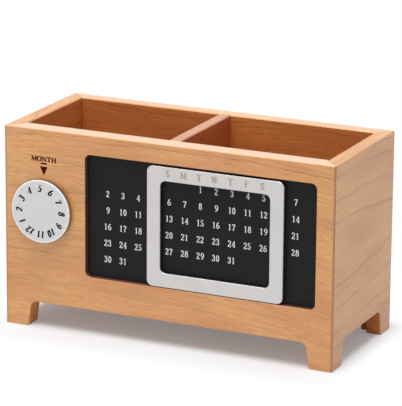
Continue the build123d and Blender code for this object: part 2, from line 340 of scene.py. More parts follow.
BOARDS = {
    "front_panel": Board(
        turn=FLAT_ON_X, slope=0.08, sweep=0.0012, runout=radians(-4.0), shift=(31.0, 0.0, 0.0),
        pith=(128.0, -10.0), spacing=6.4, tone=EVEN, lacquer=1.0, evenness=0.25, grit=1.0,
    ),
    "back_panel": Board(
        turn=FLAT_ON_X, slope=0.04, sweep=-0.0006, runout=radians(5.0), shift=(401.0, 7.0, 3.0),
        pith=(-50.0, 90.0), spacing=6.4, tone=EVEN, lacquer=0.6, evenness=0.0, grit=1.0,
    ),
    "left_end_panel": Board(
        turn=FLAT_ON_Y, slope=0.05, sweep=0.0, runout=radians(-5.0), shift=(733.0, 0.0, 5.0),
        pith=(52.0, 104.0), spacing=7.2, tone=EVEN, lacquer=0.3, evenness=0.6, grit=0.4,
    ),
    # Painted shade: the right end's tone darkens it
    "right_end_panel": Board(
        turn=FLAT_ON_Y, slope=0.0, sweep=0.0, runout=radians(5.5), shift=(977.0, 0.0, 0.0),
        pith=(57.0, -104.0), spacing=7.8, tone=(0.91, 0.91, 0.92), lacquer=0.3, evenness=0.7, grit=0.3,
    ),
    "floor_board": Board(
        turn=LYING_ON_X, slope=-0.03, sweep=0.0, runout=radians(3.0), shift=(1201.0, 0.0, 0.0),
        pith=(-90.0, 12.0), spacing=5.0, tone=EVEN, lacquer=0.3, evenness=0.0, grit=0.6,
    ),
    # Painted shade: the partition's tone darkens and reddens it
    "centre_partition": Board(
        turn=FLAT_ON_Y, slope=-0.05, sweep=0.0, runout=radians(2.0), shift=(1543.0, 0.0, 0.0),
        pith=(112.0, 24.0), spacing=5.5, tone=(0.76, 0.57, 0.48), lacquer=0.6, evenness=0.0, grit=0.6,
    ),
}

# How strong the painted sheen on the top rim of a board is, and the depths under it between which that starts
RIM_SHEEN = {"front_panel": 0.6, "back_panel": 0.5}
RIM_SHEEN_DEPTHS = (0.0004, 0.0001)

# How far a mask reaches past the faces that it colours, so that it takes them in and nothing else
SKIN = 0.00005
RIM_BEVEL = 0.0007
RECESS_REACH = 0.0006
RECESS_TOP = 0.00012
RECESS_BEHIND = 0.0005
FOOT_WIDTH = 0.0117
FOOT_FACE = 0.0007
FOOT_TOP = 0.0003

# Distances from an edge or a joint between which its mark fades out
GLUE_LINE = (0.0001, 0.0004)
UPRIGHT_EDGE = (0.0003, 0.0014)
EDGE_HIGHLIGHT_FADE = (0.0002, 0.0013)

# How strong each mark in the wood is at most, from 0 to 1
MOTTLE = 0.45
STREAK = 0.42
FIBRE = 0.36
FLECK = 0.45
LATE_WOOD = 0.95
PORE = 0.30
# Painted highlight along the outer edges of the case
EDGE_HIGHLIGHT = 0.35
DARK_JOINT = 0.8
# Painted shade on the cut faces of the feet, which also lose most of their lacquer
FEET_SHADE = 0.65


def wood_box():
    """The lowest and highest corners of the wooden case."""
    corners = [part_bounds(node) for node in BOARDS]
    low = Vector([min(box[0][axis] for box in corners) for axis in range(3)])
    high = Vector([max(box[1][axis] for box in corners) for axis in range(3)])
    return low, high


def room_inside(shade, place, low, high):
    """How far a point is inside the sides of a box, on each axis."""
    from_middle = shade.vector("ABSOLUTE", shade.vector("SUBTRACT", place, (low + high) / 2))
    return shade.axes(shade.vector("SUBTRACT", (high - low) / 2, from_middle))


def inside_box(shade, place, low, high):
    """1 between two corners of a box, and 0 outside it."""
    room = room_inside(shade, place, low, high)
    least = shade.number("MINIMUM", shade.number("MINIMUM", room[0], room[1]), room[2])
    return shade.number("GREATER_THAN", least, 0.0)


def recess_mask(shade, place):
    """1 on the walls of the calendar recess, a little below the wood's face, and 0 elsewhere."""
    low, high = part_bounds("date_plate")
    low = Vector((low.x - RECESS_REACH, WOOD_FRONT + RECESS_TOP, low.z - RECESS_REACH))
    high = high + Vector((RECESS_REACH, RECESS_BEHIND, RECESS_REACH))
    return inside_box(shade, place, low, high)


def compartment_mask(shade, place):
    """1 on what faces into the compartments, which is not lacquered and gets painted shade, and 0 elsewhere."""
    rim = wood_box()[1].z - RIM_BEVEL
    low = Vector((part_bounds("left_end_panel")[1].x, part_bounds("front_panel")[1].y, 0.0))
    high = Vector((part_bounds("right_end_panel")[0].x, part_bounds("back_panel")[0].y, rim))
    skin = Vector((SKIN, SKIN, 0.0))
    return inside_box(shade, place, low - skin, high + skin)


def mitre_mask(shade, place):
    """1 in the thin glue line of the mitred corners, and 0 away from it."""
    room = room_inside(shade, place, *wood_box())
    from_joint = shade.number("ABSOLUTE", shade.number("SUBTRACT", room[0], room[1]))
    return shade.smooth(from_joint, *GLUE_LINE, 1.0, 0.0)


def upright_edge_mask(shade, place):
    """1 along the case's four upright edges, and 0 away from them."""
    room = room_inside(shade, place, *wood_box())
    return shade.smooth(shade.number("MAXIMUM", room[0], room[1]), *UPRIGHT_EDGE, 1.0, 0.0)


def outer_edge_mask(shade, place):
    """1 along the outer edges of the case, where a highlight is painted, and 0 away from them."""
    room = room_inside(shade, place, *wood_box())
    near = shade.number("MINIMUM", room[0], room[1])
    far = shade.number("MAXIMUM", room[0], room[1])
    second_nearest = shade.number("MAXIMUM", near, shade.number("MINIMUM", far, room[2]))
    return shade.smooth(second_nearest, *EDGE_HIGHLIGHT_FADE, 1.0, 0.0)


def passage_mask(shade, place):
    """1 on the cut faces of the feet, which get less lacquer and painted shade, and 0 elsewhere."""
    low, high = wood_box()
    high.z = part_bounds("floor_board")[0].z - FOOT_TOP
    cuts = []
    for inset in ((FOOT_WIDTH, FOOT_FACE), (FOOT_FACE, FOOT_WIDTH)):
        cuts.append(inside_box(shade, place, low + Vector((*inset, -1.0)), high - Vector((*inset, 0.0))))
    return shade.number("MAXIMUM", *cuts)


def along_the_grain(shade, flat, board):
    """A point in millimetres with X along the fibres, which climb across the board and sweep in a wide arc."""
    x, y, z = shade.axes(flat)
    climb = shade.number("MULTIPLY_ADD", shade.number("MULTIPLY", x, x), board.sweep / 2, z)
    climb = shade.number("MULTIPLY_ADD", x, board.slope, climb)
    return shade.turned(shade.point(x, y, climb), location=board.shift, rotation=(0.0, 0.0, board.runout))


# How the rings wander: the noise's frequency along and across the grain, per millimetre, and its reach in
# millimetres. The first bends are slow and wide, the second quick and slight.
BENDS = ((0.011, 0.022, 11.0), (0.09, 0.16, 1.6))
UNEVEN_YEARS = 14.0

# Parts of a year, from 0 to 1: the late wood starts softly, darkens sharply and ends at once
SOFT_START = (0.55, 0.95)
SHARP_START = (0.87, 0.95)
YEAR_END = (0.955, 0.99)
SOFT_SHARE = 0.20
FAINTEST_YEAR = 0.12


def growth_rings(shade, grain, board):
    """The late wood of the rings, 0 to 1, and a point that runs with the rings."""
    bent = grain
    for along, across, reach in BENDS:
        bend = shade.vector("SUBTRACT", shade.noise(shade.scaled(grain, along, across))[1], (0.5, 0.5, 0.5))
        bent = shade.vector("MULTIPLY_ADD", bend, (0.0, reach, reach), bent)
    pith = (0.0, board.pith[1], board.pith[0])
    from_pith = shade.vector("MULTIPLY", shade.vector("SUBTRACT", bent, pith), (0.0, 1.0, 1.0))
    radius = shade.vector("LENGTH", from_pith)

    uneven = shade.noise_along(radius, 0.06)
    years = shade.number("DIVIDE", shade.number("MULTIPLY_ADD", uneven, UNEVEN_YEARS, radius), board.spacing)
    season = shade.number("FRACT", years)
    year = {"W": shade.number("FLOOR", years)}
    vigour = shade.add("ShaderNodeTexWhiteNoise", year, noise_dimensions="1D").outputs[0]
    end_of_year = shade.smooth(season, *YEAR_END, 1.0, 0.0)
    soft = shade.number("MULTIPLY", shade.smooth(season, *SOFT_START, 0.0, SOFT_SHARE), end_of_year)
    sharp = shade.number("MULTIPLY", shade.smooth(season, *SHARP_START), end_of_year)
    fading = shade.smooth(shade.noise(shade.scaled(grain, 0.025, 0.07))[0], 0.36, 0.62, board.evenness, 1.0)
    least = max(FAINTEST_YEAR, 0.8 * board.evenness)
    strength = shade.number("MULTIPLY", shade.smooth(vigour, 0.25, 1.0, least, 1.0), fading)
    line = shade.number("MULTIPLY", shade.number("MAXIMUM", soft, sharp), strength)

    along = shade.number("MULTIPLY", shade.axes(grain)[0], 0.022)
    return line, shade.point(along, radius)


def lacquered_wood(name, colours):
    """Satin lacquer on a board from a log whose pith runs beside it. All its faces cut the same rings."""
    board = BOARDS[name]
    shade = Shade(name + "_wood")
    place = shade.place()
    flat = shade.turned(place, rotation=board.turn, scale=(MM, MM, MM))
    grain = along_the_grain(shade, flat, board)
    line, with_rings = growth_rings(shade, grain, board)

    streak = shade.noise(with_rings, 0.9, 4.0, 0.65)[0]
    patch = shade.noise(shade.scaled(grain, 0.014, 0.05))[0]
    mottle = shade.noise(shade.scaled(grain, 0.22, 0.45), 1.0, 3.0, 0.6)[0]
    fibre = shade.noise(shade.scaled(grain, 0.035, 1.9), 1.0, 3.0, 0.65)[0]
    pore = shade.spots(shade.scaled(grain, 0.42, 2.3), 0.10, 0.22)
    fleck = shade.spots(shade.scaled(grain, 0.11, 0.75), 0.08, 0.20)

    pale, deep, late = colours.wood_pale, colours.wood_deep, colours.wood_line
    tone = shade.mix(shade.smooth(patch, 0.34, 0.68), pale, deep)
    tone = shade.mix(shade.smooth(mottle, 0.42, 0.75, 0.0, MOTTLE), tone, deep)
    tone = shade.mix(shade.smooth(streak, 0.45, 0.75, 0.0, STREAK * board.grit), tone, late)
    tone = shade.mix(shade.smooth(fibre, 0.42, 0.72, 0.0, FIBRE * board.grit), tone, late)
    marks = [
        (fleck, FLECK * board.grit, late),
        (line, LATE_WOOD, late),
        (pore, PORE * board.grit, colours.wood_pore),
        # Painted highlight along the outer edges of the case
        (outer_edge_mask(shade, place), EDGE_HIGHLIGHT, pale),
    ]
    if name.endswith("_panel"):
        marks += [(mask(shade, place), DARK_JOINT, late) for mask in (upright_edge_mask, mitre_mask)]
    for mark, most, mark_colour in marks:
        tone = shade.mix(shade.number("MULTIPLY", mark, most), tone, mark_colour)
    # The tone of the right end and of the partition is painted shade
    if board.tone != EVEN:
        tone = shade.mix(1.0, tone, board.tone, "MULTIPLY")

    # Painted shade: the compartments and the cut faces of the feet are darkened; they also lose lacquer and
    # turn rougher
    shaded_feet = shade.number("MULTIPLY", passage_mask(shade, place), FEET_SHADE)
    inside = shade.number("MAXIMUM", compartment_mask(shade, place), shaded_feet)
    shaded_inside = shade.mix(1.0, tone, colours.oiled_inside, "MULTIPLY")
    tone = shade.mix(inside, tone, shaded_inside)
    # Painted sheen: the top rims of the front and the back are mixed towards a pale colour
    if name in RIM_SHEEN:
        start, end = (wood_box()[1].z - depth for depth in RIM_SHEEN_DEPTHS)
        on_top = shade.smooth(shade.axes(place)[2], start, end, 0.0, RIM_SHEEN[name])
        tone = shade.mix(on_top, tone, colours.sanded_rim)
    if name == "front_panel":
        # Painted shade: the recess walls are coloured near-black brown, and lose the lacquer
        recess = recess_mask(shade, place)
        tone = shade.mix(recess, tone, colours.routed_wall)
        inside = shade.number("MAXIMUM", inside, recess)

    satin = shade.smooth(fibre, 0.3, 0.8, 0.34, 0.44)
    roughness = shade.number("MULTIPLY_ADD", inside, 0.35, satin)
    lacquer = shade.number("MULTIPLY_ADD", inside, -board.lacquer, board.lacquer)
    height = shade.number("MULTIPLY", shade.number("SUBTRACT", fibre, pore), 0.5)
    return shade.coat(
        tone, roughness, height, 0.000018, IOR=1.5, Coat_Weight=lacquer, Coat_Roughness=0.16, Coat_IOR=1.6
    )


def birch_plywood(colours):
    """Raw plywood, in thin layers across the key's thickness."""
    shade = Shade("spline_plywood")
    place = shade.in_mm()
    fibre = shade.noise(shade.turned(place, scale=(2.0, 2.0, 0.1)), 1.0, 3.0)[0]
    bands = {"Vector": place, "Scale": 0.7, "Distortion": 0.6}
    layer = shade.add("ShaderNodeTexWave", bands, bands_direction="DIAGONAL").outputs[1]
    dark_layer = shade.smooth(layer, 0.3, 0.7, 0.0, 0.6)
    tone = shade.mix(dark_layer, colours.wood_pale, colours.wood_deep)
    tone = shade.mix(shade.number("MULTIPLY", fibre, 0.3), tone, colours.wood_line)
    return shade.coat(tone, 0.75, fibre, 0.00002)


def speckle(shade, colour, fleck, grain_per_mm, darkest):
    """A colour with fine flecks and broad patches of a darker shade, and the noise of its flecks."""
    place = shade.in_mm()
    fine = shade.noise(place, grain_per_mm, 3.0, 0.65)[0]
    broad = shade.noise(place, 0.12, 2.0)[0]
    dark = tuple(channel * darkest for channel in colour)
    tone = shade.mix(shade.smooth(fine, 0.35, 0.7, 0.0, fleck), colour, dark)
    return shade.mix(shade.smooth(broad, 0.35, 0.7, 0.0, 0.35), tone, dark), fine


def speckled(
    name, colour, roughness, fleck, grain_per_mm=3.0, relief=0.00001, darkest=0.85, walls=None, **shine
):
    """A paint, plastic or blasted metal with a fine grain: flecks in its colour, its gloss and its surface.

    The walls are the depths on Y between which a piece's cut walls begin, and their share of its colour, which
    paints shade on them.
    """
    shade = Shade(name)
    tone, fine = speckle(shade, colour, fleck, grain_per_mm, darkest)
    if walls:
        start, end, wall_shade_share = walls
        # Painted shade: the cut walls are mixed towards a darker colour
        cut = tuple(channel * wall_shade_share for channel in colour)
        tone = shade.mix(shade.smooth(shade.axes(shade.place())[1], start, end), tone, cut)
    gloss = shade.smooth(fine, 0.3, 0.75, roughness - 0.04, roughness + 0.06)
    return shade.coat(tone, gloss, fine, relief, **shine)


def date_plate_paint(colours):
    """Matt black paint, with a fine grain that takes the light off it."""
    return speckled("plate_paint", colours.plate_paint, 0.55, 0.9, 4.0, 0.00002, 0.3, Specular_IOR_Level=0.22)


# The depths behind the slider's face between which its cut walls start, and how dark their painted shade is
SLIDER_WALL_DEPTHS = (0.00002, 0.00008)
SLIDER_WALL_SHADE = 0.45


def slider_metal(colours):
    """Blasted metal, with painted shade on the walls that are cut through it."""
    walls = (*(front_face("slider_frame") + depth for depth in SLIDER_WALL_DEPTHS), SLIDER_WALL_SHADE)
    return speckled("slider_metal", colours.slider_metal, 0.42, 0.5, 2.2, 0.000012, 0.86, walls, Metallic=1.0)


# The depths behind the dial's face between which its bare side starts, the distances from its rim between which
# the face turns paler in a ring, and how often the tool's marks on its side repeat
DIAL_SIDE_DEPTHS = (0.0002, 0.0004)
DIAL_PALE_RING = (0.0010, 0.0006)
GROOVES_PER_METRE = 4000.0


def painted_dial(colours):
    """A disc with matt paint on its face, in a paler ring near the rim, and bare metal on its side."""
    low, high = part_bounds("month_dial")
    shade = Shade("dial_paint")
    place = shade.place()
    away = shade.vector("MULTIPLY", shade.vector("SUBTRACT", place, DIAL_MIDDLE), (1.0, 0.0, 1.0))
    radius = shade.vector("LENGTH", away)
    pale_ring = ((high.x - low.x) / 2 - distance for distance in DIAL_PALE_RING)
    depth = shade.axes(place)[1]
    side = shade.smooth(depth, *(low.y + distance for distance in DIAL_SIDE_DEPTHS))

    tone, fine = speckle(shade, colours.dial_paint, 0.6, 3.0, 0.92)
    tone = shade.mix(shade.smooth(radius, *pale_ring), tone, colours.dial_edge)
    grooves = shade.smooth(shade.noise_along(depth, GROOVES_PER_METRE), 0.3, 0.7, 0.0, 0.5)
    tone = shade.mix(side, tone, shade.mix(grooves, colours.dial_side, colours.dial_groove))
    roughness = shade.number("MULTIPLY_ADD", side, -0.22, shade.smooth(fine, 0.3, 0.75, 0.46, 0.56))
    return shade.coat(tone, roughness, fine, 0.000008, Metallic=side)


def turned_metal(name, colour, roughness):
    """Metal from a lathe: fine rings about the dial's axis."""
    shade = Shade(name)
    away = shade.vector("SUBTRACT", shade.place(), DIAL_MIDDLE)
    radius = shade.vector("LENGTH", shade.vector("MULTIPLY", away, (MM, 0.0, MM)))
    rings = shade.noise_along(radius, 9.0)
    dark = tuple(channel * 0.7 for channel in colour)
    tone = shade.mix(shade.smooth(rings, 0.3, 0.7), colour, dark)
    gloss = shade.smooth(rings, 0.3, 0.7, roughness, roughness + 0.15)
    return shade.coat(tone, gloss, rings, 0.00001, Metallic=1.0)


def ink(name, colour):
    """Screen-printed ink, a little thinner in places."""
    return speckled(name, colour, 0.6, 0.5, 6.0, 0.000003, 0.86, Specular_IOR_Level=0.04)


def dress(node, material):
    """Give a node of the part its finish, in all its material slots."""
    for slot in NODES[node].material_slots:
        slot.link = "OBJECT"
        slot.material = material


# ---- Characters, drawn with a broad pen in a line of height 1 ----
FIGURE_WIDTH = 0.64
HAIRLINE = 0.065
SERIF_REACH = 0.15
BALL_RADIUS = 0.072
BASE_LINE = 0.035
CAP_LINE = 1.0 - BASE_LINE
SAME_POINT = 1e-6
MERGED_POINTS = 1e-5

# A stroke's width when it is an outline to be filled, and the most degrees between two points of an arc
FILLED = -1.0
ARC_STEP = 15


def arc(x, y, reach_x, reach_y, start, end):
    """Points along part of an ellipse, from one angle to another in degrees."""
    steps = max(4, ceil(abs(end - start) / ARC_STEP))
    angles = [radians(start + (end - start) * step / steps) for step in range(steps + 1)]
    return [Vector((x + reach_x * cos(angle), y + reach_y * sin(angle))) for angle in angles]


def pen(*points):
    """A stroke of the broad pen through some points."""
    return [Vector(point) for point in points], None


def bar(low_x, high_x, y, width=HAIRLINE):
    """A level bar of its own width."""
    return [Vector((low_x, y)), Vector((high_x, y))], width


def serif(x, y):
    """A short level foot or head on an upright stroke."""
    return bar(x - SERIF_REACH, x + SERIF_REACH, y)


def tick(start, end, width=HAIRLINE):
    """A straight stroke of its own width."""
    return [Vector(start), Vector(end)], width


def curve(*ellipse):
    """A stroke of the broad pen along an arc."""
    return arc(*ellipse), None


def ball(x, y, radius=BALL_RADIUS):
    """A round end of a stroke: an outline that is filled, and not drawn with the pen."""
    return arc(x, y, radius, radius, 0, 330), FILLED


def stem(x):
    """An upright stroke of full height."""
    return pen((x, BASE_LINE), (x, CAP_LINE))


def turned_over(strokes, width):
    """Strokes turned by half a turn about the middle of their cell."""
    return [
        ([Vector((width - point.x, 1.0 - point.y)) for point in points], pen_width)
        for points, pen_width in strokes
    ]


SIX = (
    curve(0.46, 0.30, 0.37, 0.66, 97, 180),
    curve(0.29, 0.30, 0.195, 0.27, 0, 360),
    ball(0.42, 0.90, 0.062),
)

# Each character's width and its strokes, as shares of its height
CHARACTERS = {
    "0": (FIGURE_WIDTH, curve(0.29, 0.5, 0.185, 0.465, 0, 360)),
    "1": (FIGURE_WIDTH, stem(0.30), tick((0.30, 0.955), (0.12, 0.83), 0.08), serif(0.30, BASE_LINE)),
    "2": (
        FIGURE_WIDTH,
        curve(0.27, 0.73, 0.19, 0.235, 165, -40),
        pen((0.415, 0.58), (0.27, 0.36), (0.06, 0.08)),
        bar(0.05, 0.51, 0.065, 0.12),
        tick((0.50, 0.06), (0.53, 0.24)),
        ball(0.125, 0.77),
    ),
    "3": (
        FIGURE_WIDTH,
        curve(0.26, 0.75, 0.175, 0.22, 150, -85),
        curve(0.25, 0.28, 0.205, 0.25, 88, -150),
        bar(0.18, 0.30, 0.53),
        ball(0.13, 0.81),
        ball(0.10, 0.20),
    ),
    "4": (
        FIGURE_WIDTH,
        tick((0.40, 0.97), (0.05, 0.30), 0.075),
        bar(0.02, 0.56, 0.29, 0.085),
        stem(0.40),
        serif(0.40, BASE_LINE),
    ),
    "5": (
        FIGURE_WIDTH,
        bar(0.11, 0.47, 0.925, 0.12),
        tick((0.135, 0.95), (0.11, 0.50)),
        curve(0.25, 0.31, 0.205, 0.275, 130, -150),
        ball(0.10, 0.20),
    ),
    "6": (FIGURE_WIDTH, *SIX),
    "7": (
        FIGURE_WIDTH,
        bar(0.05, 0.53, 0.92, 0.12),
        tick((0.065, 0.94), (0.045, 0.74)),
        pen((0.50, 0.90), (0.39, 0.66), (0.30, 0.40), (0.255, 0.20), (0.24, 0.0)),
    ),
    "8": (
        FIGURE_WIDTH,
        curve(0.29, 0.745, 0.155, 0.22, 0, 360),
        curve(0.29, 0.275, 0.195, 0.24, 0, 360),
    ),
    "9": (FIGURE_WIDTH, *turned_over(SIX, FIGURE_WIDTH)),
    "F": (
        0.68,
        stem(0.20),
        bar(0.05, 0.60, CAP_LINE),
        bar(0.20, 0.46, 0.52),
        serif(0.20, BASE_LINE),
        tick((0.60, 0.98), (0.62, 0.76)),
        tick((0.46, 0.62), (0.46, 0.42)),
    ),
    "H": (
        0.90,
        stem(0.20),
        stem(0.70),
        bar(0.20, 0.70, 0.51),
        *(serif(x, y) for x in (0.20, 0.70) for y in (BASE_LINE, CAP_LINE)),
    ),
    "M": (
        1.00,
        tick((0.16, BASE_LINE), (0.16, CAP_LINE)),
        pen((0.18, CAP_LINE), (0.50, 0.12)),
        tick((0.50, 0.12), (0.82, CAP_LINE)),
        stem(0.84),
        serif(0.16, BASE_LINE),
        serif(0.84, BASE_LINE),
        bar(0.02, 0.20, CAP_LINE),
        bar(0.80, 0.98, CAP_LINE),
    ),
    "N": (
        0.90,
        tick((0.16, BASE_LINE), (0.16, CAP_LINE)),
        pen((0.16, CAP_LINE), (0.74, 0.05)),
        tick((0.74, BASE_LINE), (0.74, CAP_LINE)),
        serif(0.16, BASE_LINE),
        bar(0.02, 0.20, CAP_LINE),
        serif(0.74, CAP_LINE),
    ),
    "O": (0.86, curve(0.43, 0.5, 0.34, 0.465, 0, 360)),
    "S": (
        0.58,
        curve(0.29, 0.735, 0.18, 0.235, 20, 235),
        curve(0.29, 0.265, 0.20, 0.235, 55, -160),
        tick((0.17, 0.58), (0.42, 0.43), 0.15),
        tick((0.47, 0.97), (0.47, 0.72)),
        tick((0.08, 0.03), (0.08, 0.28)),
    ),
    "T": (
        0.78,
        stem(0.39),
        bar(0.04, 0.74, CAP_LINE),
        serif(0.39, BASE_LINE),
        tick((0.05, 0.98), (0.05, 0.76)),
        tick((0.73, 0.98), (0.73, 0.76)),
    ),
    "W": (
        1.00,
        pen((0.10, CAP_LINE), (0.30, 0.04)),
        tick((0.30, 0.04), (0.50, CAP_LINE)),
        pen((0.50, CAP_LINE), (0.70, 0.04)),
        tick((0.70, 0.04), (0.90, CAP_LINE)),
        bar(0.0, 0.24, CAP_LINE),
        bar(0.38, 0.60, CAP_LINE),
        bar(0.80, 1.0, CAP_LINE),
    ),
}


def stroke_quads(points, width, pen_thin, pen_thick):
    """A stroke cut into quads, of one width or as the broad pen draws it: thick downwards and thin across."""
    if width == FILLED:
        return [points]
    sides = []
    closed = (points[0] - points[-1]).length < SAME_POINT
    for index, point in enumerate(points):
        before = points[index - 1] if index else (points[-2] if closed else point)
        after = points[index + 1] if index < len(points) - 1 else (points[1] if closed else point)
        along = (after - before).normalized()
        half = (max(width, pen_thin) if width else pen_thin + (pen_thick - pen_thin) * abs(along.y)) / 2
        across = Vector((-along.y, along.x)) * half
        sides.append((point + across, point - across))
    return [
        [left, right, next_right, next_left]
        for (left, right), (next_left, next_right) in zip(sides, sides[1:])
    ]


def merged(polygons):
    """Overlapping polygons made into one flat shape: its points, and triangles that turn to the left."""
    points, faces = [], []
    for polygon in polygons:
        faces.append(list(range(len(points), len(points) + len(polygon))))
        points += polygon
    points, _, triangles, _, _, covered_by = delaunay_2d_cdt(points, [], faces, 0, MERGED_POINTS, True)
    kept = [triangle for triangle, polygon in zip(triangles, covered_by) if polygon]
    used = sorted({index for triangle in kept for index in triangle})
    position = {index: place for place, index in enumerate(used)}
    return [points[index] for index in used], [[position[index] for index in triangle] for triangle in kept]


def type_case(pen_thick, pen_thin):
    """Every character as a flat shape, with its width."""
    drawn = {}
    for character, (width, *strokes) in CHARACTERS.items():
        quads = []
        for points, pen_width in strokes:
            quads += stroke_quads(points, pen_width, pen_thin, pen_thick)
        drawn[character] = (*merged(quads), width)
    return drawn


def set_line(case, text, height, centre, turn=0.0, slant=0.0, width=None):
    """A line of text as flat shapes, with its middle at a point. Without a width it is set close."""
    natural = sum(case[character][2] for character in text) * height
    stretch = width / natural if width else 1.0
    place = Matrix.Translation((*centre, 0.0)) @ Matrix.Rotation(turn, 4, "Z")
    shapes = []
    pen_x = -natural * stretch / 2
    for character in text:
        points, triangles, advance = case[character]
        placed = []
        for point in points:
            y = (point.y - 0.5) * height
            x = pen_x + point.x * height * stretch + y * slant
            placed.append((place @ Vector((x, y, 0.0))).to_2d())
        shapes.append((placed, triangles))
        pen_x += advance * height * stretch
    return shapes


def print_marks(name, shapes, face_y, body, material):
    """Print flat shapes in X and Z as one piece of thin ink on a face that looks to the front of a body."""
    settings = bpy.context.scene.calendar_print
    front = face_y - settings.ink_proud
    back = face_y + settings.ink_sunk
    corners, faces = [], []
    for points, triangles in shapes:
        first = len(corners)
        second = first + len(points)
        corners += [(point.x, front, point.y) for point in points]
        corners += [(point.x, back, point.y) for point in points]
        faces += [[first + index for index in triangle] for triangle in triangles]
        faces += [[second + index for index in reversed(triangle)] for triangle in triangles]
        sides = {(a, b) for triangle in triangles for a, b in zip(triangle, triangle[1:] + triangle[:1])}
        outline = [(a, b) for a, b in sorted(sides) if (b, a) not in sides]
        faces += [[first + b, first + a, second + a, second + b] for a, b in outline]
    mesh = bpy.data.meshes.new(name)
    mesh.from_pydata(corners, [], faces)
    mesh.validate()
    mesh.materials.append(material)
    piece = bpy.data.objects.new(name, mesh)
    bpy.context.scene.collection.objects.link(piece)
    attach(piece, body)


# ---- Operators ----
class DESK_CALENDAR_OT_boards(bpy.types.Operator):
    """Lacquer the six boards of the case, and leave the plywood keys in its corners raw"""

    bl_idname = "desk_calendar.boards"
    bl_label = "Boards"

    def execute(self, context):
        colours = context.scene.calendar_colours
        for board in BOARDS:
            dress(board, lacquered_wood(board, colours))
        dress("mitre_splines", birch_plywood(colours))
        return {"FINISHED"}


class DESK_CALENDAR_OT_date_plate(bpy.types.Operator):
    """Paint the date plate matt black, and give its adhesive sheet its own finish"""

    bl_idname = "desk_calendar.date_plate"
    bl_label = "Date Plate"

    def execute(self, context):
        colours = context.scene.calendar_colours
        dress("date_plate", date_plate_paint(colours))
        dress("date_plate_tape", speckled("tape_film", colours.tape_film, 0.6, 0.4))
        return {"FINISHED"}


class DESK_CALENDAR_OT_slider(bpy.types.Operator):
    """Finish the sliding frame in matt metal and its flexible magnet in dark rubber"""

    bl_idname = "desk_calendar.slider"
    bl_label = "Slider"

    def execute(self, context):
        colours = context.scene.calendar_colours
        dress("slider_frame", slider_metal(colours))
        dress("slider_magnet", speckled("magnet_rubber", colours.magnet_rubber, 0.7, 0.7))
        return {"FINISHED"}


class DESK_CALENDAR_OT_month_dial(bpy.types.Operator):
    """Paint the month dial, and finish the stud, bush, washers and nut that it turns on"""

    bl_idname = "desk_calendar.month_dial"
    bl_label = "Month Dial"

    def execute(self, context):
        colours = context.scene.calendar_colours
        dress("month_dial", painted_dial(colours))
        dress("dial_glide_washer", speckled("washer_nylon", colours.washer_nylon, 0.5, 0.4))
        dress("dial_bush", turned_metal("turned_brass", colours.bush_brass, 0.28))
        steel = turned_metal("zinc_steel", colours.zinc_steel, 0.32)
        for node in ("dial_spindle", "dial_spring_washer", "dial_flat_washer", "dial_nut"):
            dress(node, steel)
        return {"FINISHED"}


class DESK_CALENDAR_OT_day_numbers(bpy.types.Operator):
    """Print the days on the date plate: thirteen columns, so that the month can start on any weekday"""

    bl_idname = "desk_calendar.day_numbers"
    bl_label = "Day Numbers"

    def execute(self, context):
        settings = context.scene.calendar_print
        case = type_case(settings.pen_thick, settings.pen_thin)
        week = len(WEEKDAYS)
        columns = 2 * week - 1
        top = SLIDER_MIDDLE.z - settings.rows_drop + (settings.row_count - 1) / 2 * settings.row_pitch
        left = PLATE_MIDDLE.x - settings.columns_shift - (columns - 1) / 2 * COLUMN_PITCH
        shapes = []
        for row in range(settings.row_count):
            for column in range(columns):
                day = week * row + column + settings.first_day_offset
                if 1 <= day <= DAYS:
                    centre = (left + column * COLUMN_PITCH, top - row * settings.row_pitch)
                    shapes += set_line(case, str(day), settings.day_height, centre)
        material = ink("day_ink", context.scene.calendar_colours.day_ink)
        print_marks("day_numbers", shapes, front_face("date_plate"), "case", material)
        return {"FINISHED"}


class DESK_CALENDAR_OT_weekday_letters(bpy.types.Operator):
    """Print the seven weekdays' letters on the slider's top border, one over each column of days"""

    bl_idname = "desk_calendar.weekday_letters"
    bl_label = "Weekday Letters"

    def execute(self, context):
        settings = context.scene.calendar_print
        case = type_case(settings.bold_thick, settings.bold_thin)
        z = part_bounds("slider_frame")[1].z - settings.weekday_drop
        shapes = []
        for column, letter in enumerate(WEEKDAYS):
            x = SLIDER_MIDDLE.x + (column - (len(WEEKDAYS) - 1) / 2) * COLUMN_PITCH
            shapes += set_line(case, letter, settings.weekday_height, (x, z))
        material = ink("weekday_ink", context.scene.calendar_colours.weekday_ink)
        print_marks("weekday_letters", shapes, front_face("slider_frame"), "slider", material)
        return {"FINISHED"}


class DESK_CALENDAR_OT_dial_numbers(bpy.types.Operator):
    """Print the numbers of the months round the dial, with their tops to the rim"""

    bl_idname = "desk_calendar.dial_numbers"
    bl_label = "Dial Numbers"

    def execute(self, context):
        settings = context.scene.calendar_print
        case = type_case(settings.bold_thick, settings.bold_thin)
        shapes = []
        for month in range(1, MONTHS + 1):
            clockwise = (month - settings.month_on_top) * 2 * pi / MONTHS
            centre = (
                DIAL_MIDDLE.x + settings.month_radius * sin(clockwise),
                DIAL_MIDDLE.z + settings.month_radius * cos(clockwise),
            )
            height, slant = settings.month_height, settings.month_slant
            shapes += set_line(case, str(month), height, centre, -clockwise, slant)
        material = ink("month_ink", context.scene.calendar_colours.month_ink)
        print_marks("dial_numbers", shapes, front_face("month_dial"), "dial", material)
        return {"FINISHED"}


